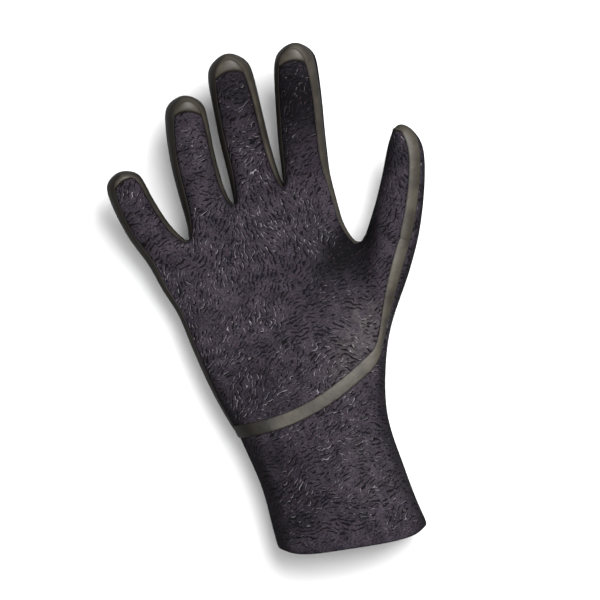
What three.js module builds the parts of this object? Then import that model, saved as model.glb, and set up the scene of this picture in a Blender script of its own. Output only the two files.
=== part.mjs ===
// A five-finger neoprene diving glove for the right hand, lying on its back with the palm up.
// It is glued together from three shaped panels of foam rubber faced with jersey: the palm with the fronts
// of all fingers, the cuff with the back of the hand, and the backs of the ring and middle fingers.
// Rubber bands welded over the glue lines close every seam.
// The form is a coarse cage of four-sided faces, smoothed once. Each face belongs to a panel, each panel
// is given its wall, and the bands lie along the edges where two panels meet.
// X runs towards the thumb, Y towards the fingertips and Z up. All sizes are in millimetres.
import * as THREE from "three";

// The hand form, measured over the outside of the neoprene
const CUFF_LENGTH = 76; // hem to heel seam, on the little finger's side
const CUFF_WIDTH = 80;
const CUFF_THICKNESS = 46;
const PALM_LENGTH = 118; // heel seam to the webs beside the middle finger
const PALM_WIDTH = 106;
const PALM_THICKNESS = 42;
const LITTLE_LENGTH = 64; // fingers and thumb are measured from the middle of their roots
const RING_LENGTH = 78;
const MIDDLE_LENGTH = 87;
const INDEX_LENGTH = 87;
const FINGER_WIDTH = 26;
const FINGER_THICKNESS = 24;
const THUMB_LENGTH = 98;
const THUMB_WIDTH = 24;
const THUMB_THICKNESS = 23;

// The material
const WALL = 3; // foam rubber with jersey on both faces
const HEM_BULGE = 0.9; // how far the cut edge of the cuff swells out
const BAND_WIDTH = 6.8;
const TIP_ZONE = 16; // within this of a fingertip the band widens
const BAND_PROUD = 0.25; // how far a band stands above the panels
const BAND_CROWN = 0.15; // how much more it stands at its middle
const SEAM_DIP = 1.0; // how far the glue line sinks below the panels
const BAND_EDGE_DIP = 0.6; // how far the panels sink under the band's edges
const SEAM_GAP = 0.3; // clearance between two pieces

// Nine columns of points cross the palm and nine the back, as shares of half the width from the little
// finger's side. Every second one is a line between two fingers.
const COLUMNS = [-0.9, -0.76, -0.57, -0.31, -0.03, 0.24, 0.5, 0.73, 0.9];
const LAST = COLUMNS.length - 1;
const PALM_SHARE = 0.95; // how far apart the palm's columns stand, share of the back's
const WEB_SHARE = 0.38; // where the seam crosses a web, share of the way from the palm side to the back
const SECTION_POWER = 2.3; // 2 gives an ellipse, and more is squarer

// Sections across the cuff. ulnar and radial: distance from the hem at the little finger's side and at the
// thumb's side, shares of CUFF_LENGTH. left and right: shares of CUFF_WIDTH. low and high: shares of
// CUFF_THICKNESS. turn_up: how far its two sides turn up towards the hand, share of CUFF_LENGTH.
const CUFF_SECTIONS = [
  { ulnar: 0.07, radial: -0.04, left: -0.485, right: 0.56, low: -0.04, high: 0.96, turn_up: 0.07 },
  { ulnar: 0.3, radial: 0.22, left: -0.485, right: 0.53, low: -0.04, high: 0.95, turn_up: 0.01 },
  { ulnar: 0.53, radial: 0.5, left: -0.475, right: 0.505, low: -0.04, high: 0.92, turn_up: 0 },
  { ulnar: 0.77, radial: 0.84, left: -0.51, right: 0.475, low: -0.04, high: 0.89, turn_up: 0 },
];

// Sections across the hand, from the heel seam to the finger roots. ulnar and radial: distance past the
// heel seam, shares of PALM_LENGTH. bow and back_bow: how far the middle of the palm side and of the back
// bends towards the cuff, shares of PALM_LENGTH. left and right: shares of PALM_WIDTH. low, high and cup:
// shares of PALM_THICKNESS, cup being the hollow of the palm. thenar: how much higher the column beside the
// thumb rises than a plain section. ulnar_seam and radial_seam: how high the seams at the two sides ride
// above the middle. These three are shares of half the height.
const PALM_SECTIONS = [
  { ulnar: -0.01, radial: 0.235, bow: 0.105, back_bow: 0, left: -0.42, right: 0.46,
    low: -0.04, high: 0.96, cup: 0.02, thenar: 0.12, ulnar_seam: 0, radial_seam: 0 },
  { ulnar: 0.22, radial: 0.44, bow: 0.04, back_bow: 0, left: -0.495, right: 0.55,
    low: -0.04, high: 0.96, cup: 0.08, thenar: 0.32, ulnar_seam: 0.12, radial_seam: 0 },
  { ulnar: 0.42, radial: 0.68, bow: 0, back_bow: 0, left: -0.53, right: 0.45,
    low: -0.04, high: 0.86, cup: 0.12, thenar: 0.12, ulnar_seam: 0.24, radial_seam: 0.15 },
  { ulnar: 0.58, radial: 0.79, bow: -0.1, back_bow: 0, left: -0.545, right: 0.405,
    low: -0.02, high: 0.8, cup: 0.1, thenar: 0, ulnar_seam: 0.32, radial_seam: 0.4 },
  { ulnar: 0.7, radial: 0.905, bow: -0.183, back_bow: -0.17, left: -0.6, right: 0.405,
    low: 0.06, high: 0.75, cup: 0.02, thenar: 0, ulnar_seam: 0.38, radial_seam: 0.42 },
];

// The arc seam over the knuckles follows these points of the back. across: share of PALM_WIDTH. along:
// distance past the heel seam, share of PALM_LENGTH.
const KNUCKLE_ARC = [
  { column: 2, across: -0.34, along: 0.74 },
  { column: 3, across: -0.225, along: 0.665 },
  { column: 4, across: -0.09, along: 0.685 },
  { column: 5, across: 0.03, along: 0.745 },
  { column: 6, across: 0.11, along: 0.855 },
];

// Sections along a finger and along the thumb. along: share of its length. wide: share of its width.
// thick: share of its thickness. turn: how much more than its axis it faces the thumb's side. seam_rise:
// how much further both its seams ride to the palm side. Both are in degrees.
const FINGER_SECTIONS = [
  { along: 0.2, wide: 1.0, thick: 1.0, turn: 0, seam_rise: 0 },
  { along: 0.41, wide: 1.0, thick: 1.0, turn: 0, seam_rise: 0 },
  { along: 0.62, wide: 0.98, thick: 0.98, turn: 0, seam_rise: 0 },
  { along: 0.8, wide: 0.95, thick: 0.94, turn: 0, seam_rise: 4 },
  { along: 0.93, wide: 0.84, thick: 0.8, turn: 0, seam_rise: 12 },
];
const THUMB_SECTIONS = [
  { along: 0.23, wide: 1.5, thick: 1.34, turn: 24, seam_rise: 0 },
  { along: 0.38, wide: 1.12, thick: 1.24, turn: 8, seam_rise: 0 },
  { along: 0.55, wide: 1.0, thick: 1.12, turn: 0, seam_rise: 0 },
  { along: 0.73, wide: 0.92, thick: 1.0, turn: 0, seam_rise: 0 },
  { along: 0.905, wide: 0.8, thick: 0.82, turn: 0, seam_rise: 8 },
];

// The fingers by their first column. wide: share of FINGER_WIDTH. The pairs hold for root and tip, in
// degrees: lean turns a finger towards the thumb, curl lifts it off the floor, roll turns it about its
// axis, and its seams ride that far to the palm side at the little finger's side and at the thumb's side.
const FINGERS = [
  { column: 0, length: LITTLE_LENGTH, wide: 0.88, lean: [-37, -3], curl: [4, 28], roll: [0, 0],
    ulnar_seam: [26, 32], radial_seam: [16, 20] },
  { column: 2, length: RING_LENGTH, wide: 0.96, lean: [-11, 12], curl: [4, 27], roll: [0, 0],
    ulnar_seam: [28, 34], radial_seam: [14, 18] },
  { column: 4, length: MIDDLE_LENGTH, wide: 1.04, lean: [-2.5, 5], curl: [4, 27], roll: [0, 0],
    ulnar_seam: [26, 28], radial_seam: [28, 32] },
  { column: 6, length: INDEX_LENGTH, wide: 1.01, lean: [9.5, 9.5], curl: [4, 25], roll: [0, 0],
    ulnar_seam: [18, 20], radial_seam: [36, 40] },
];
const THUMB = {
  length: THUMB_LENGTH, lean: [43, 14], curl: [8, 10], roll: [60, 54],
  ulnar_seam: [0, 0], radial_seam: [0, 0],
};

const RING_POINTS = 8; // points round a finger
const PALM_HALF = RING_POINTS / 2; // the first half of them bounds its palm side
const PALM_STEPS = [0, 0.32, 0.5, 0.68, 1]; // where they lie between its two seams
const TIP_LIFT = 0.2; // how far the seam rides to the palm side at a fingertip, share of its thickness
const TIP_SHARE = 1.05; // where the cage's tip lies, share of the finger's length
const TIP_BAND_SHARE = 1.8; // how wide the band is at a fingertip, share of BAND_WIDTH
const HEEL_BAND_STEPS = 2; // thumb sections that the heel band still follows on the outer side
const TURN_UP_POWER = 6; // how near its sides the cuff turns up
const LEAST_SQUARENESS = 0.6; // limits how far a band's edge reaches along an edge that leaves at a slant
const MOST_OF_FACE = 0.85; // share of the way to the next point that a band's edge may take
const NEARLY_STRAIGHT = 0.9; // cosine between two borders that count as one line

const PANEL_COLOURS = { palm_panel: 0x3a363f, back_panel: 0x37333c, knuckle_panel: 0x3d3942 };
const BAND_COLOUR = 0x625e52;

const { lerp, degToRad } = THREE.MathUtils;

// The cage: points, and faces as four point numbers with their panel and the place they belong to
const cage = { points: [], faces: [] };

function addPoint(point) {
  cage.points.push(point);
  return cage.points.length - 1;
}

function addFace(panel, place, ...corners) {
  cage.faces.push({ panel, place, corners });
}

// One section across the hand: a row of points over the palm side, one under the back, and one each side
function addSection({ ulnarY, radialY, bow, backBow, turnUp, left, right, low, high, cup, lifts }) {
  const pointAt = (share, side, lift) => {
    const round = Math.pow(1 - Math.pow(Math.abs(share), SECTION_POWER), 1 / SECTION_POWER);
    const middle = 1 - share * share;
    const straightY = lerp(ulnarY, radialY, (share + 1) / 2) + turnUp * Math.pow(share, TURN_UP_POWER);
    const y = straightY - (side > 0 ? bow : backBow) * middle;
    const rise = side * round + lift;
    const z = (low + high) / 2 + (rise * (high - low)) / 2 - (side > 0 ? cup * middle : 0);
    return addPoint(new THREE.Vector3((left + right) / 2 + (share * (right - left)) / 2, y, z));
  };
  return {
    palm: COLUMNS.map((share, k) => pointAt(share * PALM_SHARE, 1, k === LAST ? lifts.thenar : 0)),
    back: COLUMNS.map((share) => pointAt(share, -1, 0)),
    ulnarSide: pointAt(-1, 0, lifts.ulnar),
    radialSide: pointAt(1, 0, lifts.radial),
  };
}

const sections = [
  ...CUFF_SECTIONS.map((s) =>
    addSection({
      ulnarY: s.ulnar * CUFF_LENGTH,
      radialY: s.radial * CUFF_LENGTH,
      bow: 0,
      backBow: 0,
      turnUp: s.turn_up * CUFF_LENGTH,
      left: s.left * CUFF_WIDTH,
      right: s.right * CUFF_WIDTH,
      low: s.low * CUFF_THICKNESS,
      high: s.high * CUFF_THICKNESS,
      cup: 0,
      lifts: { thenar: 0, ulnar: 0, radial: 0 },
    }),
  ),
  ...PALM_SECTIONS.map((s) =>
    addSection({
      ulnarY: CUFF_LENGTH + s.ulnar * PALM_LENGTH,
      radialY: CUFF_LENGTH + s.radial * PALM_LENGTH,
      bow: s.bow * PALM_LENGTH,
      backBow: s.back_bow * PALM_LENGTH,
      turnUp: 0,
      left: s.left * PALM_WIDTH,
      right: s.right * PALM_WIDTH,
      low: s.low * PALM_THICKNESS,
      high: s.high * PALM_THICKNESS,
      cup: s.cup * PALM_THICKNESS,
      lifts: { thenar: s.thenar, ulnar: s.ulnar_seam, radial: s.radial_seam },
    }),
  ),
];
const heelRow = CUFF_SECTIONS.length;
const rootRow = sections.length - 1;

for (const { column, across, along } of KNUCKLE_ARC) {
  const point = cage.points[sections[rootRow - 1].back[column]];
  point.setX(across * PALM_WIDTH).setY(CUFF_LENGTH + along * PALM_LENGTH);
}

// The hand's faces run from section to section. Where the thumb leaves it, two by two of them are left out.
for (let row = 0; row < rootRow; row++) {
  const loops = [sections[row], sections[row + 1]].map((s) => [
    ...s.palm,
    s.radialSide,
    ...[...s.back].reverse(),
    s.ulnarSide,
  ]);
  const count = loops[0].length;
  for (let k = 0; k < count; k++) {
    const inCuff = row < heelRow;
    const besideThumb = k === LAST || k === LAST + 1;
    if (besideThumb && !inCuff && row < heelRow + 2) continue;
    const onPalmSide = k <= LAST || k === count - 1;
    const backColumn = 2 * LAST + 1 - k;
    const overKnuckles = row === rootRow - 1 && !onPalmSide && backColumn >= 2 && backColumn < LAST - 2;
    let panel = "back_panel";
    if (onPalmSide && !inCuff) panel = "palm_panel";
    if (overKnuckles) panel = "knuckle_panel";
    const next = (k + 1) % count;
    addFace(panel, inCuff ? "cuff" : "hand", loops[0][k], loops[0][next], loops[1][next], loops[1][k]);
  }
}

// The points of a ring as angles round the finger: the palm side's from seam to seam, then the back's
function ringAngles(ulnarSeam, radialSeam) {
  const first = degToRad(radialSeam);
  const second = degToRad(180 - ulnarSeam);
  const palmAngles = PALM_STEPS.slice(0, PALM_HALF).map((step) => lerp(first, second, step));
  const backAngles = palmAngles.map((_, k) => lerp(second, first + 2 * Math.PI, k / PALM_HALF));
  return [...palmAngles, ...backAngles];
}

const tips = [];

// A finger is a chain of rings. It starts from eight points of the hand and walks along its own axis.
function addFinger(place, root, stations, finger, width, thickness, backPanel) {
  const centre = new THREE.Vector3();
  root.forEach((p) => centre.addScaledVector(cage.points[p], 1 / RING_POINTS));
  let walked = 0;
  const upright = new THREE.Vector3(0, 0, 1);
  const walkTo = (along, turn) => {
    const [lean, curl, roll] = [finger.lean, finger.curl, finger.roll].map(
      (pair) => degToRad(lerp(...pair, along)),
    );
    const flat = Math.cos(curl);
    const ahead = new THREE.Vector3(Math.sin(lean) * flat, Math.cos(lean) * flat, Math.sin(curl));
    centre.addScaledVector(ahead, (along - walked) * finger.length);
    walked = along;
    const facing = ahead.applyAxisAngle(upright, -degToRad(turn));
    const side = new THREE.Vector3().crossVectors(facing, upright).normalize();
    const up = new THREE.Vector3().crossVectors(side, facing);
    return { side: side.applyAxisAngle(facing, -roll), up: up.applyAxisAngle(facing, -roll) };
  };
  let before = root;
  stations.forEach(({ along, wide, thick, turn, seam_rise }, step) => {
    const { side, up } = walkTo(along, turn);
    const [ulnarSeam, radialSeam] = [finger.ulnar_seam, finger.radial_seam].map(
      (pair) => lerp(...pair, along) + seam_rise,
    );
    const angles = ringAngles(ulnarSeam, radialSeam);
    const ring = angles.map((angle, k) => {
      const previous = angles[(k + RING_POINTS - 1) % RING_POINTS];
      const following = angles[(k + 1) % RING_POINTS];
      // Smoothing keeps six eighths of a point and takes one of each neighbour, which draws a ring in.
      const swell = 8 / (6 + Math.cos(angle - previous) + Math.cos(following - angle));
      const across = (Math.cos(angle) * width * wide * swell) / 2;
      const over = (Math.sin(angle) * thickness * thick * swell) / 2;
      return addPoint(centre.clone().addScaledVector(side, across).addScaledVector(up, over));
    });
    for (let k = 0; k < RING_POINTS; k++) {
      const next = (k + 1) % RING_POINTS;
      const outerSide = k === 0 || k === RING_POINTS - 1;
      const byHeel = place === "thumb" && outerSide && step < HEEL_BAND_STEPS;
      const panel = k < PALM_HALF ? "palm_panel" : backPanel;
      addFace(panel, byHeel ? "cuff" : place, before[next], before[k], ring[k], ring[next]);
    }
    before = ring;
  });
  const { up } = walkTo(TIP_SHARE, 0);
  const tip = addPoint(centre.clone().addScaledVector(up, thickness * TIP_LIFT));
  tips.push(tip);
  for (let k = 0; k < RING_POINTS; k += 2) {
    const panel = k < PALM_HALF ? "palm_panel" : backPanel;
    addFace(panel, place, tip, before[(k + 2) % RING_POINTS], before[k + 1], before[k]);
  }
}

// The web between two fingers is one point between the palm side and the back.
const root = sections[rootRow];
const webs = COLUMNS.map((share, column) => {
  if (column % 2) return undefined;
  if (column === 0) return root.ulnarSide;
  if (column === LAST) return root.radialSide;
  const palmPoint = cage.points[root.palm[column]];
  return addPoint(palmPoint.clone().lerp(cage.points[root.back[column]], WEB_SHARE));
});

for (const finger of FINGERS) {
  const a = finger.column;
  const b = a + 1;
  const c = a + 2;
  const ring = [
    webs[c], root.palm[c], root.palm[b], root.palm[a],
    webs[a], root.back[a], root.back[b], root.back[c],
  ];
  const isMiddleOrRing = a === 2 || a === 4;
  const backPanel = isMiddleOrRing ? "knuckle_panel" : "back_panel";
  const width = FINGER_WIDTH * finger.wide;
  const thickness = FINGER_THICKNESS * finger.wide;
  addFinger("finger", ring, FINGER_SECTIONS, finger, width, thickness, backPanel);
}

const [heel, ball, crotch] = sections.slice(heelRow, heelRow + 3);
const thumbRoot = [
  heel.palm[LAST], ball.palm[LAST], crotch.palm[LAST], crotch.radialSide,
  crotch.back[LAST], ball.back[LAST], heel.back[LAST], heel.radialSide,
];
addFinger("thumb", thumbRoot, THUMB_SECTIONS, THUMB, THUMB_WIDTH, THUMB_THICKNESS, "back_panel");

const edgeName = (a, b) => `${Math.min(a, b)}-${Math.max(a, b)}`;

// Every edge of a set of faces, with its ends in the order of its first face, and its faces
function edgesOf(faces) {
  const edges = new Map();
  for (const face of faces) {
    face.corners.forEach((a, k) => {
      const b = face.corners[(k + 1) % face.corners.length];
      const name = edgeName(a, b);
      if (!edges.has(name)) edges.set(name, { ends: [a, b], faces: [] });
      edges.get(name).faces.push(face);
    });
  }
  return edges;
}

const average = (vectors) => {
  const sum = new THREE.Vector3();
  vectors.forEach((v) => sum.add(v));
  return sum.divideScalar(vectors.length);
};

// Catmull and Clark's smoothing: each face becomes four, and the points move to a rounder surface.
function smooth({ points, faces }) {
  const edges = edgesOf(faces);
  const centreOf = new Map(faces.map((face) => [face, average(face.corners.map((p) => points[p]))]));
  const around = points.map(() => ({ faces: [], edges: [] }));
  faces.forEach((face) => face.corners.forEach((p) => around[p].faces.push(face)));
  edges.forEach((edge) => edge.ends.forEach((p) => around[p].edges.push(edge)));
  const middleOf = (edge) => average(edge.ends.map((p) => points[p]));
  const newPoints = points.map((point, p) => {
    const open = around[p].edges.filter((edge) => edge.faces.length === 1);
    if (open.length) return average(open.map(middleOf)).lerp(point, 0.5);
    const count = around[p].faces.length;
    const faceMean = average(around[p].faces.map((face) => centreOf.get(face)));
    const edgeMean = average(around[p].edges.map(middleOf));
    const sum = faceMean.addScaledVector(edgeMean, 2).addScaledVector(point, count - 3);
    return sum.divideScalar(count);
  });
  const numberOf = new Map();
  const keep = (key, point) => {
    newPoints.push(point);
    numberOf.set(key, newPoints.length - 1);
  };
  edges.forEach((edge, name) => {
    const middle = middleOf(edge);
    const isOpen = edge.faces.length === 1;
    keep(name, isOpen ? middle : middle.lerp(average(edge.faces.map((face) => centreOf.get(face))), 0.5));
  });
  centreOf.forEach((centre, face) => keep(face, centre));
  const newFaces = faces.flatMap((face) =>
    face.corners.map((p, k) => {
      const after = numberOf.get(edgeName(p, face.corners[(k + 1) % 4]));
      const before = numberOf.get(edgeName(p, face.corners[(k + 3) % 4]));
      return { panel: face.panel, place: face.place, corners: [p, after, numberOf.get(face), before] };
    }),
  );
  return { points: newPoints, faces: newFaces };
}

const form = smooth(cage);

// Which band covers an edge where two panels meet
function bandOver(edge) {
  const panels = edge.faces.map((face) => face.panel);
  const places = edge.faces.map((face) => face.place);
  if (!panels.includes("palm_panel")) return "back_seam_band";
  if (places.includes("cuff")) return "heel_seam_band";
  if (places.every((place) => place === "thumb")) return "thumb_seam_band";
  return "finger_seam_band";
}

const bandOfEdge = new Map();
const seamsAt = new Map(); // the neighbours along the seam of each point on it
edgesOf(form.faces).forEach((edge, name) => {
  if (edge.faces.length < 2 || edge.faces[0].panel === edge.faces[1].panel) return;
  bandOfEdge.set(name, bandOver(edge));
  edge.ends.forEach((p, k) => {
    if (!seamsAt.has(p)) seamsAt.set(p, []);
    seamsAt.get(p).push(edge.ends[1 - k]);
  });
});

// Where three panels meet in a web, the fingers' band has a short tongue that the next band butts against.
seamsAt.forEach((neighbours, p) => {
  if (neighbours.length < 3) return;
  neighbours.forEach((neighbour) => bandOfEdge.set(edgeName(p, neighbour), "finger_seam_band"));
});

// Beside the seams the faces are split, so that a strip half a band wide lies on both sides of each one.
const bandEdgePoints = new Map();

function addBandEdge(key, point) {
  if (!bandEdgePoints.has(key)) {
    form.points.push(point);
    bandEdgePoints.set(key, form.points.length - 1);
  }
  return bandEdgePoints.get(key);
}

// Half the band's width at a point of the seam
function halfBandAt(p) {
  const distances = tips.map((tip) => form.points[tip].distanceTo(form.points[p]));
  return (BAND_WIDTH / 2) * lerp(TIP_BAND_SHARE, 1, Math.min(Math.min(...distances) / TIP_ZONE, 1));
}

// The point of the band's edge on the way from a point on the seam to a neighbour beside it
function bandEdgeTowards(seamPoint, other) {
  const from = form.points[seamPoint];
  const out = form.points[other].clone().sub(from);
  const length = out.length();
  out.normalize();
  const squareness = seamsAt.get(seamPoint).map((neighbour) => {
    const along = form.points[neighbour].clone().sub(from).normalize();
    return along.cross(out).length();
  });
  const distance = halfBandAt(seamPoint) / Math.max(LEAST_SQUARENESS, ...squareness);
  out.multiplyScalar(Math.min(distance, MOST_OF_FACE * length));
  return addBandEdge(`${seamPoint}>${other}`, out.add(from));
}

function splitBesideSeams(face) {
  const { panel, place } = face;
  const bandOn = face.corners.map((p, k) => bandOfEdge.get(edgeName(p, face.corners[(k + 1) % 4])));
  const turned = (first) => [0, 1, 2, 3].map((k) => face.corners[(first + k) % 4]);
  const plain = (...corners) => ({ panel, place, corners });
  const strip = (band, ...corners) => ({ panel, place, band, corners });
  const seamCount = bandOn.filter(Boolean).length;
  if (seamCount === 1) {
    const [a, b, c, d] = turned(bandOn.findIndex(Boolean));
    const nearA = bandEdgeTowards(a, d);
    const nearB = bandEdgeTowards(b, c);
    return [strip(bandOn.find(Boolean), a, b, nearB, nearA), plain(nearA, nearB, c, d)];
  }
  if (seamCount === 2) {
    const first = [0, 1, 2, 3].find((k) => bandOn[k] && bandOn[(k + 3) % 4]);
    const [a, b, c, d] = turned(first);
    const nearB = bandEdgeTowards(b, c);
    const nearD = bandEdgeTowards(d, c);
    const inner = form.points[a].clone();
    inner.add(form.points[nearB]).sub(form.points[b]).add(form.points[nearD]).sub(form.points[d]);
    const nearA = addBandEdge(`${a}>>${c}`, inner);
    return [
      strip(bandOn[first], a, b, nearB, nearA),
      strip(bandOn[(first + 3) % 4], a, nearA, nearD, d),
      plain(nearA, nearB, c, nearD),
    ];
  }
  if (face.corners.some((p) => seamsAt.has(p))) {
    const [a, b, c, d] = turned(face.corners.findIndex((p) => seamsAt.has(p)));
    const nearB = bandEdgeTowards(a, b);
    const nearD = bandEdgeTowards(a, d);
    const out = average([form.points[nearB], form.points[nearD]]).sub(form.points[a]);
    const nearA = addBandEdge(`${a}>>${c}`, form.points[a].clone().add(out.setLength(halfBandAt(a))));
    return [
      strip(bandOfEdge.get(edgeName(a, seamsAt.get(a)[0])), a, nearB, nearA, nearD),
      plain(nearB, b, c, nearA),
      plain(nearA, c, d, nearD),
    ];
  }
  return [face];
}

const outerFaces = form.faces.flatMap(splitBesideSeams);

const facesAt = form.points.map(() => []);
for (const { corners } of outerFaces) {
  const [a, b, c, d] = corners.map((p) => form.points[p]);
  const normal = new THREE.Vector3().crossVectors(c.clone().sub(a), d.clone().sub(b)).normalize();
  corners.forEach((p) => facesAt[p].push(normal));
}

// The way out at a point, as long as it must be for all faces around it to move out by one: the least
// squares answer, held a little to their mean, and no longer than LONGEST_WAY_OUT in a tight fold
const MEAN_WEIGHT = 0.15;
const EVEN_WEIGHT = 0.015;
const LONGEST_WAY_OUT = 1.5;
const waysOut = facesAt.map((faceNormals) => {
  const mean = average(faceNormals).normalize();
  const sum = new Array(9).fill(0);
  [...faceNormals.map((n) => [n, 1]), [mean, MEAN_WEIGHT]].forEach(([n, weight]) => {
    const parts = n.toArray();
    sum.forEach((_, k) => (sum[k] += weight * parts[Math.floor(k / 3)] * parts[k % 3]));
  });
  [0, 4, 8].forEach((k) => (sum[k] += EVEN_WEIGHT));
  const goal = mean.clone().multiplyScalar(MEAN_WEIGHT + EVEN_WEIGHT);
  faceNormals.forEach((n) => goal.add(n));
  return goal.applyMatrix3(new THREE.Matrix3().fromArray(sum).invert()).clampLength(0, LONGEST_WAY_OUT);
});

// How far the panels' outside lies from the form: it sinks towards the seams.
const bandEdges = new Set(bandEdgePoints.values());
const outsideAt = (p) => (seamsAt.has(p) ? -SEAM_DIP : bandEdges.has(p) ? -BAND_EDGE_DIP : 0);

// A point of the form moved out, or in where that is negative, and flattened where it rests on the floor
function placed(p, out, shift) {
  const at = form.points[p].clone().addScaledVector(waysOut[p], out);
  if (shift) at.add(shift);
  at.z = Math.max(at.z, -out, 0);
  return at;
}

// How far the border points of some faces draw back from their neighbours, so that pieces keep their gap
function drawnBack(faces, meetsNeighbour) {
  const borders = new Map();
  edgesOf(faces).forEach((edge) => {
    if (edge.faces.length > 1) return;
    const [a, b] = edge.ends;
    const along = form.points[b].clone().sub(form.points[a]).normalize();
    const up = waysOut[a].clone().add(waysOut[b]).normalize();
    const inward = new THREE.Vector3().crossVectors(up, along).normalize();
    const depth = meetsNeighbour(edge) ? SEAM_GAP / 2 : 0;
    [a, b].forEach((p) => {
      if (!borders.has(p)) borders.set(p, []);
      borders.get(p).push({ inward, depth });
    });
  });
  const shifts = new Map();
  borders.forEach(([first, second], p) => {
    const shared = first.inward.dot(second.inward);
    const shift = new THREE.Vector3();
    if (shared > NEARLY_STRAIGHT) {
      shift.addScaledVector(first.inward, first.depth / 2).addScaledVector(second.inward, second.depth / 2);
    } else {
      const square = 1 - shared * shared;
      shift.addScaledVector(first.inward, (first.depth - shared * second.depth) / square);
      shift.addScaledVector(second.inward, (second.depth - shared * first.depth) / square);
    }
    shifts.set(p, shift);
  });
  return shifts;
}

// A closed solid between two surfaces. rimAt gives the middle of a border's edge where that is rounded.
function solidBetween(outer, inner, outerAt, innerAt, rimAt) {
  const positions = [];
  const triangles = [];
  const numbers = new Map();
  const corner = (layer, at, p) => {
    const key = `${layer}${p}`;
    if (!numbers.has(key)) {
      numbers.set(key, positions.length / 3);
      positions.push(...at(p).toArray());
    }
    return numbers.get(key);
  };
  const addQuad = (a, b, c, d, cutFromB) => {
    if (cutFromB) triangles.push(a, b, d, b, c, d);
    else triangles.push(a, b, c, a, c, d);
  };
  const isShorterFromB = (corners) => {
    const [a, b, c, d] = corners.map((p) => form.points[p]);
    return b.distanceTo(d) < a.distanceTo(c);
  };
  for (const { corners } of outer) {
    const [a, b, c, d] = corners.map((p) => corner("outer", outerAt, p));
    addQuad(a, b, c, d, isShorterFromB(corners));
  }
  for (const { corners } of inner) {
    const [a, b, c, d] = corners.map((p) => corner("inner", innerAt, p));
    addQuad(a, d, c, b, isShorterFromB(corners));
  }
  edgesOf(outer).forEach((edge) => {
    if (edge.faces.length > 1) return;
    const [a, b] = edge.ends;
    const isRounded = rimAt && edge.ends.every((p) => !seamsAt.has(p));
    const layers = [["outer", outerAt], ...(isRounded ? [["rim", rimAt]] : []), ["inner", innerAt]];
    for (let k = 0; k + 1 < layers.length; k++) {
      const [over, under] = [layers[k], layers[k + 1]];
      // The neighbour across the seam sees this edge the other way round and must cut it on the same line.
      addQuad(corner(...over, b), corner(...over, a), corner(...under, a), corner(...under, b), a < b);
    }
  });
  const geometry = new THREE.BufferGeometry();
  geometry.setAttribute("position", new THREE.Float32BufferAttribute(positions, 3));
  geometry.setIndex(triangles);
  geometry.computeVertexNormals();
  return geometry;
}

// A panel of foam rubber: its wall, with butt edges at the seams and a rounded edge at the hem
function panelGeometry(panel) {
  const inner = form.faces.filter((face) => face.panel === panel);
  const outer = outerFaces.filter((face) => face.panel === panel);
  const shifts = drawnBack(outer, (edge) => bandOfEdge.has(edgeName(...edge.ends)));
  const hemShift = new THREE.Vector3(0, -HEM_BULGE, 0);
  return solidBetween(
    outer,
    inner,
    (p) => placed(p, outsideAt(p), shifts.get(p)),
    (p) => placed(p, -WALL, shifts.get(p)),
    (p) => placed(p, -WALL / 2, hemShift),
  );
}

// A band of rubber: it follows the panels at a small gap and is thickest over the glue line.
function bandGeometry(band) {
  const strips = outerFaces.filter((face) => face.band === band);
  const allStripEdges = edgesOf(outerFaces.filter((face) => face.band));
  const shifts = drawnBack(strips, (edge) => allStripEdges.get(edgeName(...edge.ends)).faces.length > 1);
  return solidBetween(
    strips,
    strips,
    (p) => placed(p, BAND_PROUD + (seamsAt.has(p) ? BAND_CROWN : 0), shifts.get(p)),
    (p) => placed(p, outsideAt(p) + SEAM_GAP, shifts.get(p)),
  );
}

const glove = new THREE.Group();

function addPiece(name, geometry, color, roughness) {
  const mesh = new THREE.Mesh(geometry, new THREE.MeshStandardMaterial({ color, roughness, metalness: 0 }));
  mesh.name = name;
  glove.add(mesh);
}

for (const [name, colour] of Object.entries(PANEL_COLOURS)) {
  addPiece(name, panelGeometry(name), colour, 0.9);
}
for (const name of ["finger_seam_band", "thumb_seam_band", "heel_seam_band", "back_seam_band"]) {
  addPiece(name, bandGeometry(name), BAND_COLOUR, 0.5);
}

// The origin lies on the floor under the middle of the glove.
const box = new THREE.Box3().setFromObject(glove);
const centre = box.getCenter(new THREE.Vector3());
glove.position.set(-centre.x, -centre.y, -box.min.z);

export default glove;
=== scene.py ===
# %% [markdown]
# # A diving glove, from measured panels to soft foam rubber
# The real glove is cut from sheets of foam rubber with jersey on both faces. The cut edges are glued, and a
# smooth rubber band is welded over each glue line. The measured model already holds the three panels and
# the four bands at their true size, so this file keeps those forms. It gives them what facets can't: round
# soft skin, shallow folds, the embossed jersey and the half-gloss of the rubber.

# %% Load the measured frame
import math

import bpy
import numpy as np
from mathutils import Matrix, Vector, noise
from mathutils.bvhtree import BVHTree
from mathutils.kdtree import KDTree


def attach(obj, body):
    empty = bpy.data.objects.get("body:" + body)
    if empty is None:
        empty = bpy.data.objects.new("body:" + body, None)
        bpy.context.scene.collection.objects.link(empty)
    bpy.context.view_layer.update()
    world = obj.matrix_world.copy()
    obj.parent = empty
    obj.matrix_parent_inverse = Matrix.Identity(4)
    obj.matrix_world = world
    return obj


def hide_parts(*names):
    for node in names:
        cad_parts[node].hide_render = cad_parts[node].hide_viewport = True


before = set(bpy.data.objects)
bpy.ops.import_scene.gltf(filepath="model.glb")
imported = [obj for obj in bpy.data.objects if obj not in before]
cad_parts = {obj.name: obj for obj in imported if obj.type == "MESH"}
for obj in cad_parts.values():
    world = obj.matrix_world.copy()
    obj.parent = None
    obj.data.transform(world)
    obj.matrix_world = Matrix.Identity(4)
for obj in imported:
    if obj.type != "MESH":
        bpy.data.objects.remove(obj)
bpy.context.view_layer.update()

MM = 0.001

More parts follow.
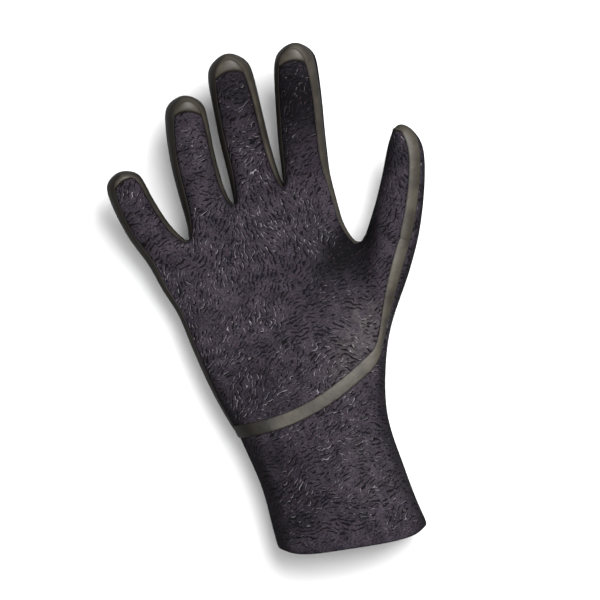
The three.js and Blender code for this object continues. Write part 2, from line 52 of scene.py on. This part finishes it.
# %% [markdown]
# Every piece starts as a copy of its measured solid. The measured mesh is loose triangles, so the copy's
# points are merged and its triangles joined into quads, because subdivision rounds quads evenly and makes
# lumps of triangles. The alternative, a voxel remesh, would blunt the thin lips where the bands run out.

# %% Copy the measured solids
SAME_POINT = 0.001 * MM
MOST_BEND = math.radians(70)  # two triangles that bend no more than this may become one quad


def make_active(piece):
    bpy.ops.object.select_all(action="DESELECT")
    piece.select_set(True)
    bpy.context.view_layer.objects.active = piece


def copy_of(node_name, name):
    piece = bpy.data.objects.new(name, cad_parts[node_name].data.copy())
    bpy.context.collection.objects.link(piece)
    piece.data.materials.clear()
    make_active(piece)
    bpy.ops.object.mode_set(mode="EDIT")
    bpy.ops.mesh.select_all(action="SELECT")
    bpy.ops.mesh.remove_doubles(threshold=SAME_POINT)
    bpy.ops.mesh.tris_convert_to_quads(face_threshold=MOST_BEND, shape_threshold=MOST_BEND)
    bpy.ops.object.mode_set(mode="OBJECT")
    return piece


PANELS = {"palm_panel": "palm_neoprene", "back_panel": "back_neoprene", "knuckle_panel": "knuckle_neoprene"}
BANDS = {
    "finger_seam_band": "finger_band",
    "thumb_seam_band": "thumb_band",
    "heel_seam_band": "heel_band",
    "back_seam_band": "knuckle_band",
}
panels = {node: copy_of(node, name) for node, name in PANELS.items()}
bands = {node: copy_of(node, name) for node, name in BANDS.items()}
for node, piece in {**panels, **bands}.items():
    corners = [len(face.vertices) for face in piece.data.polygons]
    print(node, "quads", corners.count(4), "triangles", corners.count(3))

# %% [markdown]
# Inside the glove the jersey is plain, so the finish has to know which points lie inside. A point of the
# lining sees foam rubber whichever way it looks, and a point outside sees mostly open air. Rays in many
# directions tell the two apart, also between the fingers, where a nearest point test would go wrong.

# %% Tell the lining from the outside
RAY_COUNT = 24
RAY_LENGTH = 120 * MM
OFF_SURFACE = 0.3 * MM
LEAST_RISE = 0.1  # a ray that would leave the surface at a flatter angle than this isn't cast
OPEN_SHARE = 0.6  # a point is outside where no more than this share of its rays end on a wall
LINED_SHARE = 0.8  # and on the lining from this share
GOLDEN_ANGLE = math.pi * (3 - math.sqrt(5))


def store(piece, name, values):
    layer = piece.data.attributes.new(name, "FLOAT", "POINT")
    layer.data.foreach_set("value", np.asarray(values, np.float32))


def even_directions(count):
    rows = (np.arange(count) + 0.5) / count * 2 - 1
    turns = np.arange(count) * GOLDEN_ANGLE
    radius = np.sqrt(1 - rows**2)
    return [Vector(d) for d in np.stack([radius * np.cos(turns), radius * np.sin(turns), rows], axis=1)]


directions = even_directions(RAY_COUNT)
depsgraph = bpy.context.evaluated_depsgraph_get()
walls = [BVHTree.FromObject(piece, depsgraph) for piece in panels.values()]


def share_closed(point, normal):
    start = point + normal * OFF_SURFACE
    facing = [d for d in directions if d.dot(normal) > LEAST_RISE]
    hits = sum(any(wall.ray_cast(start, d, RAY_LENGTH)[0] for wall in walls) for d in facing)
    return hits / len(facing)


for node, piece in panels.items():
    closed = np.array([share_closed(vertex.co, vertex.normal) for vertex in piece.data.vertices])
    store(piece, "lining", np.interp(closed, (OPEN_SHARE, LINED_SHARE), (0, 1)))
    print(node, "points on the lining:", int((closed > LINED_SHARE).sum()), "of", len(closed))

# %% [markdown]
# A band's edges are thinner and darker than its middle. The solid already has a line of points down the
# middle and one along each border. Only at a border does a short edge join the two faces, so the border
# points are found by that. When the band is rounded later, the number spreads smoothly across it.

# %% Mark the borders of the bands
RIM_HEIGHT = 0.9 * MM  # a band's rims are lower than this, and all its other edges are longer


def points_of(mesh):
    flat = np.empty(3 * len(mesh.vertices), np.float32)
    mesh.vertices.foreach_get("co", flat)
    return flat.reshape(-1, 3).astype(float)


def mark_border(piece):
    spots = points_of(piece.data)
    border = np.zeros(len(spots))
    for edge in piece.data.edges:
        first, second = edge.vertices
        if np.linalg.norm(spots[first] - spots[second]) < RIM_HEIGHT:
            border[[first, second]] = 1
    store(piece, "border", border)
    print(piece.name, "points on the border:", int(border.sum()))


for piece in bands.values():
    mark_border(piece)

# %% [markdown]
# Real foam rubber has no facets. Here they are about 5 mm wide, and two levels of subdivision bring them
# down to a little over 1 mm. Rounding also draws a form in, so the points first move out by what it would
# take from them.

# %% Round the pieces off
ROUND_LEVELS = 2
GIVEN_BACK = 0.85  # share of the rounding's loss that the points move out by


def move_points(mesh, points):
    mesh.vertices.foreach_set("co", points.astype(np.float32).ravel())
    mesh.update()


def round_off(piece):
    rounding = piece.modifiers.new("rounding", "SUBSURF")
    rounding.levels = ROUND_LEVELS
    rounding.render_levels = ROUND_LEVELS
    measured = points_of(piece.data)
    rounded = points_of(piece.evaluated_get(bpy.context.evaluated_depsgraph_get()).data)[: len(measured)]
    move_points(piece.data, measured + GIVEN_BACK * (measured - rounded))
    make_active(piece)
    bpy.ops.object.modifier_apply(modifier=rounding.name)


for piece in [*panels.values(), *bands.values()]:
    round_off(piece)
    print(piece.name, len(piece.data.polygons), "faces")

# %% [markdown]
# Foam rubber that lies empty isn't perfectly even. The hollow beside the thumb is deep, the fingers have
# faint creases over their joints, and the cuff bends in long soft planes. One field of small movements does
# all of that. It depends only on the place, so the two faces of a wall move together, and a band stays on
# its panels.

# %% Bend the skin in shallow folds
# Folds as lines on the palm side, in millimetres from the middle of the glove: from (x, y) to (x, y), with
# the depth and half width. A negative depth is a ridge.
FOLDS = [
    {"from": (39, 22), "to": (27, 10), "depth": 4.0, "half_width": 9},
    {"from": (44, 26), "to": (10, 14), "depth": 1.0, "half_width": 3.5},
    {"from": (40, 16), "to": (20, -8), "depth": 1.0, "half_width": 3.5},
    {"from": (-52, 30), "to": (0, 46), "depth": 0.5, "half_width": 6},
    {"from": (3, -76), "to": (-5, -131), "depth": -1.6, "half_width": 6},
    {"from": (-30, -84), "to": (-28, -128), "depth": 0.7, "half_width": 9},
    {"from": (-24, -62), "to": (28, -58), "depth": 0.8, "half_width": 7},
]
SWELL_HEIGHT = 0.45  # in millimetres, like the size
SWELL_SIZE = 26
SWELL_SEED = 3  # without a seed of its own, this noise would change with every run
MIDDLE_HEIGHT = 20  # folds fade below this height, so that the back keeps its own form
FADE_HEIGHT = 3


def distance_to_line(points, start, end):
    along = np.array(end, float) - start
    share = np.clip(((points - start) @ along) / (along @ along), 0, 1)
    return np.linalg.norm(points - (start + share[:, None] * along), axis=1)


def fold_movement(points):
    """How far each point moves, in metres. Folds sink palm skin, and slow swells move all of it."""
    spots = points / MM
    palm_side = 1 / (1 + np.exp(-(spots[:, 2] - MIDDLE_HEIGHT) / FADE_HEIGHT))
    movement = np.zeros_like(spots)
    for fold in FOLDS:
        distance = distance_to_line(spots[:, :2], np.array(fold["from"], float), np.array(fold["to"], float))
        movement[:, 2] -= fold["depth"] * palm_side * np.exp(-((distance / fold["half_width"]) ** 2))
    swells = np.array([noise.noise_vector(Vector(spot / SWELL_SIZE)) for spot in spots])
    return (movement + swells * SWELL_HEIGHT) * MM


noise.seed_set(SWELL_SEED)
for piece in [*panels.values(), *bands.values()]:
    points = points_of(piece.data)
    movement = fold_movement(points)
    points += movement
    points[:, 2] = np.maximum(points[:, 2], 0)
    move_points(piece.data, points)
    make_active(piece)
    bpy.ops.object.shade_smooth()
    print(piece.name, "moved by up to", round(np.abs(movement).max() / MM, 1), "mm")

# %% [markdown]
# The pattern of the jersey needs to know a few more things about a place: which way its grooves run, how
# level the skin lies, whether the cut edge of the cuff is near, where wear has left the nap pale, and where
# shade is painted into its colour: in the hollow beside the thumb, on the thumb, on the index and middle
# fingers and down the left of the cuff. Each is one number per point. Grooves run across the fingers and
# the cuff, and lengthwise in the middle of the palm. Between such places the direction is a weighted mean.

# %% Mark how the jersey lies
# The grooves' direction at a few places, (x, y) in millimetres, in degrees from the X axis
GRAIN = [
    {"at": (-62, 88), "degrees": 12},
    {"at": (-30, 108), "degrees": 0},
    {"at": (2, 115), "degrees": -5},
    {"at": (36, 110), "degrees": 8},
    {"at": (72, 60), "degrees": 75},
    {"at": (-5, 25), "degrees": 80},
    {"at": (-42, 10), "degrees": 35},
    {"at": (36, 20), "degrees": 30},
    {"at": (24, -14), "degrees": -25},
    {"at": (-25, -35), "degrees": 10},
    {"at": (0, -100), "degrees": -4},
]
GRAIN_REACH = 22
LEAST_WEIGHT = 1e-6  # keeps the mean in being far from all of these places
PALE_PATCHES = [
    {"at": (32, -20), "reach": 12, "share": 1.0},
    {"at": (23, -33), "reach": 10, "share": 1.0},
    {"at": (10, -43), "reach": 9, "share": 0.6},
    {"at": (11, -84), "reach": 12, "share": 0.2},
    {"at": (8, -108), "reach": 13, "share": 0.3},
    {"at": (34, -112), "reach": 12, "share": 0.2},
    {"at": (-31, 88), "reach": 16, "share": 0.2},
]
# Patches of painted shade, where the jersey's colour is darkened to stand in for shade
PAINTED_SHADE_PATCHES = [
    {"at": (30, 19), "reach": 12, "share": 1.0},
    {"at": (42, 30), "reach": 10, "share": 1.0},
    {"at": (16, 8), "reach": 14, "share": 0.5},
    {"at": (60, 64), "reach": 14, "share": 0.8},
    {"at": (30, 104), "reach": 28, "share": 1.0},
    {"at": (-4, 118), "reach": 14, "share": 0.5},
    {"at": (-34, -44), "reach": 16, "share": 0.4},
    {"at": (-33, -82), "reach": 15, "share": 0.4},
    {"at": (-31, -112), "reach": 17, "share": 0.5},
]
RIM_LEAN = 0.7  # where a face looks further than this towards the arm, it belongs to the cut edge
RIM_PLACE = -110 * MM  # as long as it also lies beyond this
LIP_SOLID = 2.1  # the plain lip is this wide, in millimetres from the cut edge
LIP_GONE = 6.3  # and has faded into the pattern here


def nearness(points, at, reach):
    return np.exp(-((np.linalg.norm(points[:, :2] / MM - at, axis=1) / reach) ** 2))


def normals_of(mesh):
    flat = np.empty(3 * len(mesh.vertices), np.float32)
    mesh.vertices.foreach_get("normal", flat)
    return flat.reshape(-1, 3)


for node, piece in panels.items():
    points = points_of(piece.data)
    normals = normals_of(piece.data)
    weights = np.stack([nearness(points, spot["at"], GRAIN_REACH) + LEAST_WEIGHT for spot in GRAIN])
    angles = np.radians([spot["degrees"] for spot in GRAIN])
    store(piece, "grain", angles @ weights / weights.sum(axis=0))
    store(piece, "level", np.abs(normals[:, 2]))
    on_palm_side = normals[:, 2] > 0
    for name, patches in (("pale", PALE_PATCHES), ("painted_shade", PAINTED_SHADE_PATCHES)):
        cover = sum(patch["share"] * nearness(points, patch["at"], patch["reach"]) for patch in patches)
        store(piece, name, on_palm_side * np.minimum(cover, 1))

cuff = panels["back_panel"]
points = points_of(cuff.data)
cut_edge = (normals_of(cuff.data)[:, 1] < -RIM_LEAN) & (points[:, 1] < RIM_PLACE)
edge_tree = KDTree(int(cut_edge.sum()))
for index, point in enumerate(points[cut_edge]):
    edge_tree.insert(point, index)
edge_tree.balance()
distances = np.array([edge_tree.find(point)[2] for point in points])
store(cuff, "lip", np.interp(distances / MM, (LIP_SOLID, LIP_GONE), (1, 0)))
print("points on the cut edge:", int(cut_edge.sum()))

# %% [markdown]
# At the fingertips the rubber is brushed on wider, as a cap over the palm side. How far a point lies inside
# its cap is one number again, and the skin rises under the cap until it is flush with the band.

# %% Cap the fingertips with rubber
# at: the end of the finger, in millimetres. degrees: the way it points, from the X axis. depth: how far the
# cap reaches back at its middle.
TIPS = [
    {"at": (-74.5, 92), "degrees": 100, "depth": 5.8},
    {"at": (-34, 122), "degrees": 88, "depth": 8.8},
    {"at": (-4, 137), "degrees": 86, "depth": 9.4},
    {"at": (30.5, 134), "degrees": 82, "depth": 9.6},
    {"at": (75, 79), "degrees": 74, "depth": 5.0},
]
TIP_HALF_WIDTH = 16  # a cap covers no point that lies further aside than this
TIP_LENGTH = 20  # or further back
CAP_ROUNDNESS = 0.045  # how fast the cap reaches further back towards its sides, per millimetre
CAP_RISE = 0.8
FAR_OUTSIDE = -5.0
FAR_INSIDE = 5.0


def depth_in_cap(points):
    """How deep each point lies inside a fingertip's cap, in millimetres, and negative outside it."""
    spots = points[:, :2] / MM
    deepest = np.full(len(spots), FAR_OUTSIDE)
    for tip in TIPS:
        turn = math.radians(tip["degrees"])
        back = (np.array(tip["at"]) - spots) @ (math.cos(turn), math.sin(turn))
        aside = (np.array(tip["at"]) - spots) @ (-math.sin(turn), math.cos(turn))
        depth = tip["depth"] + CAP_ROUNDNESS * aside**2 - back
        near = (np.abs(aside) < TIP_HALF_WIDTH) & (back < TIP_LENGTH)
        deepest = np.where(near, np.maximum(deepest, depth), deepest)
    return np.clip(deepest, FAR_OUTSIDE, FAR_INSIDE)


def values_of(piece, name):
    values = np.empty(len(piece.data.vertices), np.float32)
    piece.data.attributes[name].data.foreach_get("value", values)
    return values


palm = panels["palm_panel"]
points = points_of(palm.data)
outer = 1 - np.clip(values_of(palm, "lining"), 0, 1)
under_cap = np.clip(0.5 + depth_in_cap(points), 0, 1) * outer
move_points(palm.data, points + normals_of(palm.data) * (under_cap * CAP_RISE * MM)[:, None])
for piece in [palm, *bands.values()]:
    store(piece, "cap", depth_in_cap(points_of(piece.data)))
for piece in (panels["back_panel"], panels["knuckle_panel"]):
    store(piece, "cap", np.full(len(piece.data.vertices), FAR_OUTSIDE))
print("palm points under the caps:", int((under_cap > 0.5).sum()))

# %% [markdown]
# Painted shade: the bands are made darker and browner at the outer end of the band across the heel, round
# the tip of the little finger, and wherever a band faces the little finger's side, away from the stronger
# lamp. The number that says how level a band lies is lowered there, because the finish darkens steep rubber
# too, as painted shade.

# %% Mark where the bands get painted shade
BAND_SHADE_PATCHES = [
    {"at": (-53, -58), "reach": 24, "share": 1.0},
    {"at": (-77, 90), "reach": 12, "share": 0.4},
]
SHADE_TOWARDS_LEFT = 1.0  # share for a face that looks straight at the little finger's side

for piece in bands.values():
    points = points_of(piece.data)
    normals = normals_of(piece.data)
    # Painted shade: the patches first, then faces that look towards the little finger's side
    shaded = sum(patch["share"] * nearness(points, patch["at"], patch["reach"]) for patch in BAND_SHADE_PATCHES)
    shaded += SHADE_TOWARDS_LEFT * np.maximum(-normals[:, 0], 0)
    store(piece, "level", np.abs(normals[:, 2]) - shaded)
    print(piece.name, "points of thin rubber:", int((shaded > 0.5).sum()), "of", len(points))

# %% [markdown]
# The finishes are worked out by many small sums on masks, which read best as Python. A Wire is an output
# socket that works with the usual operators. Each operator adds its maths node.

# %% Let sockets do sums
class Wire:
    def __init__(self, finish, socket):
        self.finish = finish
        self.socket = socket

    def maths(self, operation, *others):
        values = dict(enumerate([self, *others]))
        return self.finish.node("ShaderNodeMath", {"operation": operation}, values)

    def __add__(self, other):
        return self.maths("ADD", other)

    def __radd__(self, other):
        return self.maths("ADD", other)

    def __sub__(self, other):
        return self.maths("SUBTRACT", other)

    def __rsub__(self, other):
        return self * -1 + other

    def __mul__(self, other):
        return self.maths("MULTIPLY", other)

    def __rmul__(self, other):
        return self.maths("MULTIPLY", other)

    def sine(self):
        return self.maths("SINE")

    def cosine(self):
        return self.maths("COSINE")

    def rise(self, low, high):
        """0 up to low and 1 from high, with a smooth way between. It falls where low is the larger."""
        turned = low > high
        ends = {"From Min": min(low, high), "From Max": max(low, high)}
        ends |= {"To Min": float(turned), "To Max": float(not turned)}
        settings = {"interpolation_type": "SMOOTHSTEP"}
        return self.finish.node("ShaderNodeMapRange", settings, {"Value": self, **ends})


# %% [markdown]
# A Finish is a material that adds every node through one method. Its patterns follow Object coordinates, so
# they run on from one panel to the next without a break. The embossed pattern comes from a noise that sums
# small packets of waves, which gives stripes of about one width that start, bend and stop.

# %% Build a finish from nodes
WAVES_IN_PACKET = 2.5  # more waves in a packet make longer stripes
STRAIGHTNESS = 0.8  # at 1 the stripes would all follow the given direction


class Finish:
    def __init__(self, name):
        self.material = bpy.data.materials.new(name)
        self.material.use_nodes = True
        self.tree = self.material.node_tree
        self.surface = self.tree.nodes["Principled BSDF"]
        self.place = self.node("ShaderNodeTexCoord", {}, {}, "Object")

    def node(self, kind, settings, values, output=0):
        """Adds a node: its settings first, then values or wires for its sockets, by index or name."""
        node = self.tree.nodes.new(kind)
        for name, value in settings.items():
            setattr(node, name, value)
        for key, value in values.items():
            self.feed(self.find(node.inputs, key), value)
        return Wire(self, self.find(node.outputs, output))

    @staticmethod
    def find(sockets, key):
        if isinstance(key, int):
            return sockets[key]
        return next(s for s in sockets if key in (s.identifier, s.name))

    def feed(self, socket, value):
        if isinstance(value, Wire):
            self.tree.links.new(value.socket, socket)
        else:
            socket.default_value = value

    def blend(self, mask, first, second):
        values = {"Factor_Float": mask, "A_Color": first, "B_Color": second}
        return self.node("ShaderNodeMix", {"data_type": "RGBA"}, values, "Result_Color")

    def noise(self, size, detail=2.0, output="Fac"):
        """Smooth noise from 0 to 1, with spots about size metres wide."""
        values = {"Vector": self.place, "Scale": 1 / size, "Detail": detail}
        return self.node("ShaderNodeTexNoise", {}, values, output)

    def bent_place(self, size, reach):
        """The place, pushed about by up to half of reach, in bends about size metres wide."""
        centred = {0: self.noise(size, 1.0, "Color"), 1: (0.5, 0.5, 0.5)}
        push = self.node("ShaderNodeVectorMath", {"operation": "SUBTRACT"}, centred)
        values = {0: push, 1: (reach, reach, reach), 2: self.place}
        return self.node("ShaderNodeVectorMath", {"operation": "MULTIPLY_ADD"}, values)

    def stripes(self, place, across, spacing):
        """Short stripes that lie across a direction: their height, about 0.2 to 0.8, and their phase. The
        phase goes from 0 to 1 across each stripe, with the valley at 0.25 and the ridge at 0.75."""
        packets = {
            "Vector": place,
            "Scale": 1 / (spacing * WAVES_IN_PACKET),
            "Frequency": WAVES_IN_PACKET,
            "Anisotropy": STRAIGHTNESS,
            "Orientation 3D": across,
        }
        height = self.node("ShaderNodeTexGabor", {"gabor_type": "3D"}, packets, "Value")
        return height, Wire(self, height.socket.node.outputs["Phase"])

    def attribute(self, name):
        return self.node("ShaderNodeAttribute", {"attribute_name": name}, {}, "Fac")

    def bump(self, height, distance):
        return self.node("ShaderNodeBump", {}, {"Height": height, "Distance": distance}, "Normal")

    def set(self, **values):
        for name, value in values.items():
            self.feed(self.surface.inputs[name.replace("_", " ")], value)
        return self.material


# %% [markdown]
# The bands and the fingertip caps share one colour. It is olive grey that changes slowly. As painted shade,
# it goes over to dark brown where the rubber is steep and where the bands' level number was lowered.

# %% Mix the colour of the rubber
RUBBER = (0.025, 0.0212, 0.0155, 1)
PALE_RUBBER = (0.052, 0.045, 0.034, 1)
# Dark brown: the real dark borders of the bands and caps, and also painted shade on steep rubber
EDGE_AND_SHADE_RUBBER = (0.0055, 0.0040, 0.0032, 1)
TONE_SIZE = 14 * MM


def rubber_colour(finish):
    body = finish.blend(finish.noise(TONE_SIZE, 3.0).rise(0.35, 0.68), RUBBER, PALE_RUBBER)
    # Painted shade: steep rubber, and rubber whose level number was lowered, goes over to dark brown
    return finish.blend(finish.attribute("level").rise(0.8, 0.15) * 0.88, body, EDGE_AND_SHADE_RUBBER)


# %% [markdown]
# The outer jersey is heat-pressed with short wavy grooves, about 2 mm apart. Cutting them into the mesh
# would take millions of faces, so they are stripes of noise, dark and a little sunk. Their direction is the
# grain plus a slow wander. The colours lie in layers, from the mottled cloth through red specks and pale
# dust to the black grooves. Steep skin gets less of the dusty tone, as painted shade. Painted highlights,
# short pale glints, lie beside some of the grooves on level skin, where a groove's edge would catch light.

# %% Finish the embossed jersey
GROOVE_SPACING = 2.15 * MM
GROOVE_DEPTH = 0.4 * MM
WANDER = 3.6  # the whole swing of the grooves' direction, in radians
WANDER_SIZE = 22 * MM
BEND_SIZE = 4.5 * MM
BEND_REACH = 3.8 * MM
BREAK_SIZE = 4.6 * MM
THREAD_SIZE = 0.9 * MM
PATCH_SIZE = 8 * MM
SPECK_SIZE = 1.5 * MM
DUST_SIZE = 2.4 * MM
TUFT_SIZE = 24 * MM
GLINT_SIZE = 3.2 * MM
NAP_SIZE = 0.6 * MM
CLOTH = (0.0040, 0.0031, 0.0054, 1)
DUSTY = (0.040, 0.032, 0.043, 1)
REDDISH = (0.031, 0.017, 0.023, 1)
BLACK_GROOVE = (0.0010, 0.0009, 0.0013, 1)
# Colour of the painted highlights beside the grooves
PAINTED_GLINT = (0.22, 0.205, 0.217, 1)
PALE_DUST = (0.072, 0.065, 0.064, 1)
PAINTED_SHADE_CLOTH = (0.0010, 0.0008, 0.0018, 1)
LINING = (0.007, 0.006, 0.0085, 1)


def jersey_finish(name):
    finish = Finish(name)
    # Where the grooves run
    turn = finish.attribute("grain") + (finish.noise(WANDER_SIZE, 1.0) - 0.5) * WANDER
    across = finish.node("ShaderNodeCombineXYZ", {}, {"X": turn.sine() * -1, "Y": turn.cosine(), "Z": 0.0})
    stripes, phase = finish.stripes(finish.bent_place(BEND_SIZE, BEND_REACH), across, GROOVE_SPACING)
    cap = finish.attribute("cap").rise(-0.2, 0.2)
    cap_edge = finish.attribute("cap").rise(-1.0, -0.5) * finish.attribute("cap").rise(0.7, 0.1)
    bare = (1 - finish.attribute("lining")) * (1 - finish.attribute("lip")) * (1 - cap)
    breaks = finish.noise(BREAK_SIZE, 1.0).rise(0.28, 0.36)
    groove = stripes.rise(0.42, 0.36) * breaks * bare
    # The layers of colour, from the cloth up
    painted_shade = finish.attribute("painted_shade")
    # Painted shade: steep skin, and skin in the shade patches, gets less of the dusty tone below, so it
    # reads darker
    level = finish.attribute("level").rise(0.2, 1.0) * (1 - painted_shade * 0.5)
    threads = finish.noise(THREAD_SIZE, 2.0).rise(0.32, 0.68)
    patches = finish.noise(PATCH_SIZE, 3.0).rise(0.32, 0.68)
    mottled = finish.blend((threads * 0.7 + patches * 0.4) * (level * 0.85 + 0.15), CLOTH, DUSTY)
    # Painted shade: in the shade patches the cloth goes almost black
    shaded_cloth = finish.blend(painted_shade * 0.95, mottled, PAINTED_SHADE_CLOTH)
    speckled = finish.blend(finish.noise(SPECK_SIZE, 1.0).rise(0.62, 0.7) * 0.6, shaded_cloth, REDDISH)
    dust = finish.attribute("pale") * finish.noise(DUST_SIZE, 4.0).rise(0.28, 0.74)
    dusted = finish.blend(dust * 0.75, speckled, PALE_DUST)
    grooved = finish.blend(groove * 0.95, dusted, BLACK_GROOVE)
    # Painted highlights: pale glints on one side of a groove, on level skin only
    beside = phase.rise(0.33, 0.37) * phase.rise(0.49, 0.44) * stripes.rise(0.50, 0.46)
    glint_clusters = finish.noise(TUFT_SIZE, 1.0) + finish.attribute("pale") * 0.3
    sparse = finish.noise(GLINT_SIZE, 1.0).rise(0.51, 0.59) * glint_clusters.rise(0.38, 0.6)
    glint = beside * sparse * breaks * bare * level
    glinted = finish.blend(glint * 0.8, grooved, PAINTED_GLINT)
    # The plain lining, and the rubber over the fingertips
    lined = finish.blend(finish.attribute("lining"), glinted, LINING)
    capped = finish.blend(cap, lined, rubber_colour(finish))
    height = (stripes.rise(0.45, 0.62) * 0.3 + finish.noise(NAP_SIZE) * 0.5) * (1 - cap) - groove
    return finish.set(
        Base_Color=finish.blend(cap_edge, capped, EDGE_AND_SHADE_RUBBER),
        Roughness=0.84 - glint * 0.3 - cap * 0.3,
        Coat_Weight=cap * 0.35,
        Coat_Roughness=0.4,
        Normal=finish.bump(height, GROOVE_DEPTH),
        Specular_IOR_Level=0.12,
    )


jersey = jersey_finish("embossed_jersey")
print(jersey.name, len(jersey.node_tree.nodes), "nodes")

# %% [markdown]
# The bands are smooth rubber that was brushed on and cured. They are olive grey and half glossy, with slow
# changes of tone, and darken to brown where they thin out at the edges.

# %% Finish the welded rubber
WAVE_SIZE = 3.2 * MM
PORE_SIZE = 0.5 * MM
GLOSS_SIZE = 5 * MM
SKIN_DEPTH = 0.25 * MM


def rubber_finish(name):
    finish = Finish(name)
    border = finish.attribute("border").rise(0.85, 1.0) * finish.attribute("cap").rise(0.6, 0.2) * 0.8
    colour = finish.blend(border, rubber_colour(finish), EDGE_AND_SHADE_RUBBER)
    skin = finish.noise(WAVE_SIZE, 3.0) + finish.noise(PORE_SIZE, 2.0) * 0.15
    return finish.set(
        Base_Color=colour,
        Roughness=0.44 + finish.noise(GLOSS_SIZE, 2.0) * 0.2,
        Normal=finish.bump(skin, SKIN_DEPTH),
        Specular_IOR_Level=0.35,
    )


band_rubber = rubber_finish("band_rubber")
print(band_rubber.name, len(band_rubber.node_tree.nodes), "nodes")

# %% [markdown]
# Every piece gets its finish and says which measured solid it stands for, and that solid is hidden. The
# panels are padding of foam rubber, and the bands are thin rubber that lies on them.

# %% Dress the pieces
for node, piece in panels.items():
    piece.data.materials.append(jersey)
for node, piece in bands.items():
    piece.data.materials.append(band_rubber)
for node, piece in {**panels, **bands}.items():
    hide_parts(node)
    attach(piece, "root")
    print(node, "is dressed as", piece.name, "in", piece.data.materials[0].name)

# %% [markdown]
# The glove lies on a pale floor. A white floor lights the sides of a black glove so much that it looks flat.
# A photographer holds that light off with black cards, and here the floor is white for the camera and grey
# for bounced light.

# %% Lay the floor
PAPER_FOR_CAMERA = (0.86, 0.86, 0.86, 1)
PAPER_FOR_BOUNCES = (0.25, 0.25, 0.25, 1)
FLOOR_SIDE = 6
FLOOR_HEIGHT = -0.1 * MM

bpy.ops.object.select_all(action="DESELECT")
bpy.ops.mesh.primitive_plane_add(size=FLOOR_SIDE, location=(0, 0, FLOOR_HEIGHT))
floor = bpy.context.object
floor.name = "pale_floor"
paper = Finish("pale_paper")
seen = paper.node("ShaderNodeLightPath", {}, {}, "Is Camera Ray")
paper_tone = paper.blend(seen, PAPER_FOR_BOUNCES, PAPER_FOR_CAMERA)
floor.data.materials.append(paper.set(Base_Color=paper_tone, Roughness=0.9))
print("floor at", floor.location.z / MM, "mm")

# %% [markdown]
# Two large soft lamps light the glove. The stronger one stands by the index finger, so that the
# left-hand sides of the fingers fall into shade, as on the photograph. The other one and a dim room soften
# that shade.

# %% Hang the lamps
LAMPS = [
    {"name": "key_lamp", "place": (0.48, 0.32, 1.1), "size": 0.8, "watts": 28},
    {"name": "fill_lamp", "place": (-0.1, -0.1, 1.4), "size": 1.0, "watts": 11},
]
ROOM_COLOUR = (1, 1, 1, 1)
ROOM_STRENGTH = 0.15

for row in LAMPS:
    bpy.ops.object.light_add(type="AREA", location=row["place"])
    lamp = bpy.context.object
    lamp.name = row["name"]
    lamp.data.size = row["size"]
    lamp.data.energy = row["watts"]
    lamp.rotation_euler = (-Vector(row["place"])).to_track_quat("-Z", "Y").to_euler()
    print(lamp.name, lamp.data.energy, "watts")

world = bpy.data.worlds.new("studio")
world.use_nodes = True
room_light = world.node_tree.nodes["Background"].inputs
room_light["Color"].default_value = ROOM_COLOUR
room_light["Strength"].default_value = ROOM_STRENGTH
bpy.context.scene.world = world
bpy.context.scene.view_settings.view_transform = "Standard"

# %% [markdown]
# The photograph was taken from straight above and from far away. The camera's upper edge is turned, so that
# the fingers lean to the left in its picture.

# %% Set the camera
CAMERA_HEIGHT = 2.2
SKIN_HEIGHT = 20 * MM
PHOTO_PIXEL = 0.54 * MM  # what one pixel of the photograph covers at that height of the glove
PICTURE_SIDE = 600
HAND_LEAN = math.radians(15)
SENSOR = 36
NEAREST = 0.05
bpy.ops.object.camera_add(location=(0, 0, CAMERA_HEIGHT), rotation=(0, 0, -HAND_LEAN))
camera = bpy.context.object
camera.data.sensor_width = SENSOR
camera.data.lens = SENSOR * (CAMERA_HEIGHT - SKIN_HEIGHT) / (PHOTO_PIXEL * PICTURE_SIDE)
camera.data.clip_start = NEAREST
bpy.context.scene.camera = camera
print("lens", round(camera.data.lens), "mm")
